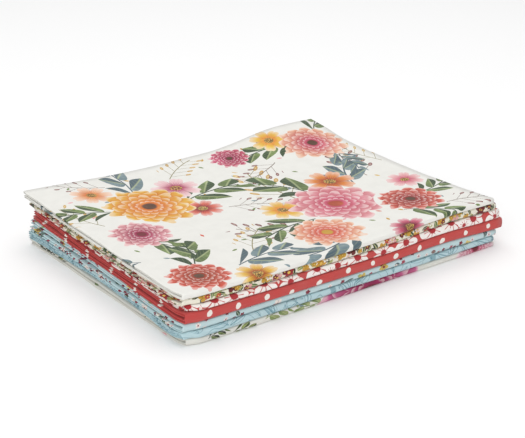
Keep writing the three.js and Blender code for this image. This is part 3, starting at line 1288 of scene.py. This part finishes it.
# %% Flowers and berries on blue
BLUE = ink(204, 228, 230)
LONG_LEAF_TONES = (ink(72, 104, 100), ink(64, 84, 96), LEAF_GREEN, ink(80, 116, 104))
SHORT_LEAF_TONES = (ink(70, 86, 96), MAROON, DEEP_GREEN, ink(150, 166, 90))
FLOWER_TONES = (ink(246, 238, 226), ink(208, 184, 92), ink(240, 232, 224), ink(226, 206, 120))
BERRY_TONES = (ink(236, 226, 224), ink(128, 38, 58), ink(244, 236, 230), ink(168, 66, 84))

# Leaves: pitch, shift, length, width, share of the cells and tones.
BLUE_LEAVES = (
    (15, (3, 8), 0.34, 0.12, 0.45, LONG_LEAF_TONES),
    (11, (6, 1), 0.24, 0.13, 0.3, SHORT_LEAF_TONES),
)

# Flowers and berries: pitch, shift, size, share of the cells and tones.
BLUE_FLOWERS = (
    (19, (6, 4), 0.25, 0.5, FLOWER_TONES),
    (6.0, (8, 3), 0.34, 0.6, BERRY_TONES),
)


def blue_floral_print(tree, place):
    colour = lay(tree, clouds(tree, place, 4.0, 3.0), BLUE, ink(192, 219, 224))
    for pitch, shift, length, width, share, tones in BLUE_LEAVES:
        seen = zoomed(tree, place, pitch, shift)
        leaves = use(tree, strewn_leaf_group, Place=seen, Length=length, Width=width, Share=share)
        tone = palette(tree, leaves["Kind"], tones)
        colour = lay(tree, leaves["Mask"], colour, lay(tree, leaves["Vein"], tone, ink(170, 190, 170)))
    for pitch, shift, size, share, tones in BLUE_FLOWERS:
        seen = zoomed(tree, place, pitch, shift)
        flowers = use(tree, strewn_flower_group, Place=seen, Size=size, Share=share, Notch=0.42)
        tone = palette(tree, flowers["Kind"], tones)
        tone = lay(tree, ease(tree, flowers["Seam"], 0.7, 0.95, 0.0, 0.7), tone, ink(140, 60, 72))
        tone = lay(tree, flowers["Heart"], tone, ink(130, 44, 60))
        colour = lay(tree, flowers["Mask"], colour, tone)
    return colour


print("on blue, flowers and berries about", [row[0] for row in BLUE_FLOWERS], "mm apart")

# %% [markdown]
# ## Leaf scribble, blue on blue
#
# A tonal print is one colour on a lighter one. The leaves are only outlined: a slightly smaller leaf is
# taken away from each, and what is left is the line. Loose wires between them are the level lines of
# soft noise.

# %% Leaf scribble, blue on blue
TONAL_LINE = ink(84, 136, 152)

# Pitch, shift and share of the cells.
OUTLINED_LEAVES = ((17, (5, 2), 1.0), (13, (1, 9), 0.8))


def blue_tonal_print(tree, place):
    colour = lay(tree, clouds(tree, place, 5.0, 3.0), ink(200, 226, 230), ink(182, 213, 221))
    for pitch, shift, share in OUTLINED_LEAVES:
        seen = zoomed(tree, place, pitch, shift)
        leaves = use(tree, strewn_leaf_group, Place=seen, Length=0.62, Width=0.17, Share=share)
        inner = use(tree, strewn_leaf_group, Place=seen, Length=0.58, Width=0.145, Share=share)
        outline = number(tree, "SUBTRACT", leaves["Mask"], inner["Mask"])
        outline = number(tree, "MAXIMUM", outline, both(tree, leaves["Vein"], leaves["Mask"]))
        colour = lay(tree, number(tree, "MULTIPLY", outline, 0.75), colour, TONAL_LINE)
    wires = zigzag(tree, number(tree, "MULTIPLY", clouds(tree, place, 3.2, 1.0), 9.0))
    return lay(tree, ease(tree, wires, 0.1, 0.03, 0.0, 0.6), colour, TONAL_LINE)


print("outlined leaves about", [row[0] for row in OUTLINED_LEAVES], "mm apart")

# %% [markdown]
# ## Leaves and bouquet on cream
#
# Only the front and the left edge of the bottom cloth show, so its leaves are listed along those two
# folds, with one large flower where the photograph has a patch of magenta, and a few more further in
# where the cloth is covered.

# %% Leaves and bouquet on cream, the bottom cloth
BOUQUET_FULL = [
    (158, -8, 47, 20, ink(214, 110, 158), ink(168, 44, 100), MAROON),
    (262, 2, 20, 35, ink(236, 200, 210), ink(206, 104, 136), MAROON),
    (60, 150, 40, 10, PINK, ROSE, RUST),
    (210, 150, 36, 10, PEACH, ROSE, RUST),
    (120, -150, 40, 10, PINK, MAGENTA, RUST),
]
BOUQUET_LEAVES = [
    (18, 0, 15, 12, LEAF_GREEN, ink(44, 52, 40)),
    (38, -1, 17, -8, ink(160, 172, 104), ink(70, 84, 50)),
    (64, 1, 21, 6, LEAF_GREEN, ink(150, 160, 108)),
    (116, 0, 25, 176, ink(176, 184, 130), LEAF_GREEN),
    (206, 14, 44, 14, BLUE_GREY, SLATE),
    (2, 160, 18, 80, ink(176, 164, 92), DEEP_GREEN),
    (1, 204, 22, -86, ink(70, 74, 62), ink(36, 38, 34)),
    (96, 160, 60, 20, LEAF_GREEN, DEEP_GREEN),
]


def leaf_bouquet_print(tree, place):
    colour = lay(tree, clouds(tree, place, 4.0, 3.0), ink(238, 236, 228), ink(228, 228, 220))
    buds = use(tree, strewn_leaf_group, Place=zoomed(tree, place, 21), Length=0.2, Width=0.07, Share=0.35)
    tone = palette(tree, buds["Kind"], [PINK, OCHRE, BLUE_GREY, ROSE, LEAF_GREEN])
    colour = lay(tree, buds["Mask"], colour, tone)
    for x, y, size, turn, leaf, shade in BOUQUET_LEAVES:
        colour = lay_spray(
            tree, place, colour, leaf_group, (x, y), size, turn, Leaf=leaf, Shade=shade, Bow=0.2, Pairs=2.5,
        )
    return lay_flowers(tree, place, colour, full_group, BOUQUET_FULL, Petals=13.0)


print(len(BOUQUET_FULL), "flowers and", len(BOUQUET_LEAVES), "sprays on the bottom cloth")

# %% [markdown]
# ## The finished cotton
#
# Printed cotton is matt, with a faint sheen of fibre ends at grazing angles. The ink doesn't go right
# through, so the wrong side is a paler ghost of the print, and the cut edge is nearly undyed. Each
# print therefore makes three materials, which Solidify gives to the two faces and to the rim.

# %% Cotton materials
PRINTS = {
    "leaf_bouquet_print": leaf_bouquet_print,
    "blue_tonal_print": blue_tonal_print,
    "blue_floral_print": blue_floral_print,
    "red_dot_print": red_dot_print,
    "red_flower_print": red_flower_print,
    "small_flower_print": small_flower_print,
    "large_flower_print": large_flower_print,
}
UNDYED = ink(236, 232, 222)

# How much of the undyed cotton shows on each side, and by how much all prints are deepened.
SIDES = {"print": 0.0, "wrong_side": 0.28, "cut_edge": 0.45}
DEEPENED = (0.89, 0.89, 0.89)

# The tints of thick yarns and of uneven dye.
YARN_TINT = (0.9, 0.9, 0.88)
DYE_TINT = (0.35, 0.33, 0.30)

SPECULAR = 0.25
SHEEN = 0.12
SHEEN_ROUGHNESS = 0.5
WEAVE_STRENGTH = 0.25
WEAVE_RELIEF = 0.00006


def cotton(slot, side):
    """The material of one side of a print, paler as less of the ink shows there."""
    material = bpy.data.materials.new(slot + "_" + side)
    material.use_nodes = True
    tree = material.node_tree
    shader = tree.nodes["Principled BSDF"]
    flat = tree.nodes.new("ShaderNodeUVMap")
    flat.uv_map = "flat_cut"
    place = flat.outputs[0]
    weave = use(tree, weave_group, Place=place)
    colour = PRINTS[slot](tree, place)
    if SIDES[side]:
        colour = lay(tree, SIDES[side], colour, UNDYED)
    colour = lay(tree, ease(tree, weave["Slub"], 0.5, 0.8, 0.0, 0.05), colour, YARN_TINT)
    colour = lay(tree, ease(tree, weave["Mottle"], 0.35, 0.7, 0.0, 0.06), colour, DYE_TINT)
    colour = lay(tree, 1.0, colour, DEEPENED, blend="MULTIPLY")
    join(tree, colour, shader.inputs["Base Color"])
    join(tree, ease(tree, weave["Mottle"], 0.3, 0.7, 0.84, 0.94), shader.inputs["Roughness"])
    shader.inputs["Specular IOR Level"].default_value = SPECULAR
    shader.inputs["Sheen Weight"].default_value = SHEEN
    shader.inputs["Sheen Roughness"].default_value = SHEEN_ROUGHNESS
    relief = tree.nodes.new("ShaderNodeBump")
    relief.inputs["Strength"].default_value = WEAVE_STRENGTH
    relief.inputs["Distance"].default_value = WEAVE_RELIEF
    join(tree, weave["Height"], relief.inputs["Height"])
    join(tree, relief.outputs[0], shader.inputs["Normal"])
    return material


for row, sheet in enumerate(sheets):
    for side in SIDES:
        sheet.data.materials.append(cotton(CLOTHS[row]["slot"], side))
    print(sheet.name, "has", len(sheet.data.materials), "materials")

# %% [markdown]
# ## What each sheet stands for
#
# Every sheet takes the place of one solid of the imported model, which is hidden, and rides on the same
# body.
# The stack has no moving part, so there is one body for all.

# %% Attaching the sheets and hiding the solids
for row, sheet in enumerate(sheets):
    cloth = CLOTHS[row]
    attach(sheet, "root")
    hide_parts(cloth["node"])
print(len(sheets), "sheets replace", len(CLOTHS), "solids")

# %% [markdown]
# ## Floor
#
# The photograph has a plain white ground. A large pale plane gives that, and the soft shadow under the
# stack shows that it rests on something. The bottom cloth lies on it, and each other cloth on the one
# below.

# %% Floor
FLOOR_HALF = 6.0
FLOOR_TONE = (0.97, 0.97, 0.97, 1)
FLOOR_ROUGHNESS = 0.95

floor_mesh = bpy.data.meshes.new("floor")
build = bmesh.new()
bmesh.ops.create_grid(build, x_segments=1, y_segments=1, size=FLOOR_HALF)
build.to_mesh(floor_mesh)
build.free()
floor = bpy.data.objects.new("floor", floor_mesh)
bpy.context.scene.collection.objects.link(floor)
floor_finish = bpy.data.materials.new("pale_floor")
floor_finish.use_nodes = True
floor_shader = floor_finish.node_tree.nodes["Principled BSDF"]
floor_shader.inputs["Base Color"].default_value = FLOOR_TONE
floor_shader.inputs["Roughness"].default_value = FLOOR_ROUGHNESS
floor_mesh.materials.append(floor_finish)

print("floor of", 2 * FLOOR_HALF, "metres a side")

# %% [markdown]
# ## Light
#
# The picture was taken in soft light from above and from the front left, with hardly a shadow. A large
# lamp overhead lights the top cloth, a second one lights the two folded sides, and the white world fills
# the rest. Smaller or stronger lamps would cut the plies into hard stripes.

# %% Light
# Each lamp: its name, its place, its size in metres and its power in watts.
LAMPS = (
    ("overhead", (0.1, 0.2, 1.6), 1.6, 10),
    ("front", (-1.4, -1.25, 0.9), 1.4, 11),
)
WORLD_STRENGTH = 0.7

for name, place, size, power in LAMPS:
    lamp = bpy.data.lights.new(name, "AREA")
    lamp.shape = "SQUARE"
    lamp.size = size
    lamp.energy = power
    holder = bpy.data.objects.new(name, lamp)
    bpy.context.scene.collection.objects.link(holder)
    holder.location = place
    holder.rotation_euler = (-Vector(place)).to_track_quat("-Z", "Y").to_euler()

world = bpy.data.worlds.new("studio")
bpy.context.scene.world = world
world.use_nodes = True
world.node_tree.nodes["Background"].inputs["Color"].default_value = (1, 1, 1, 1)
world.node_tree.nodes["Background"].inputs["Strength"].default_value = WORLD_STRENGTH
bpy.context.scene.view_settings.view_transform = "Standard"
print("lamps", [lamp[0] for lamp in LAMPS], "and a white world at", WORLD_STRENGTH)
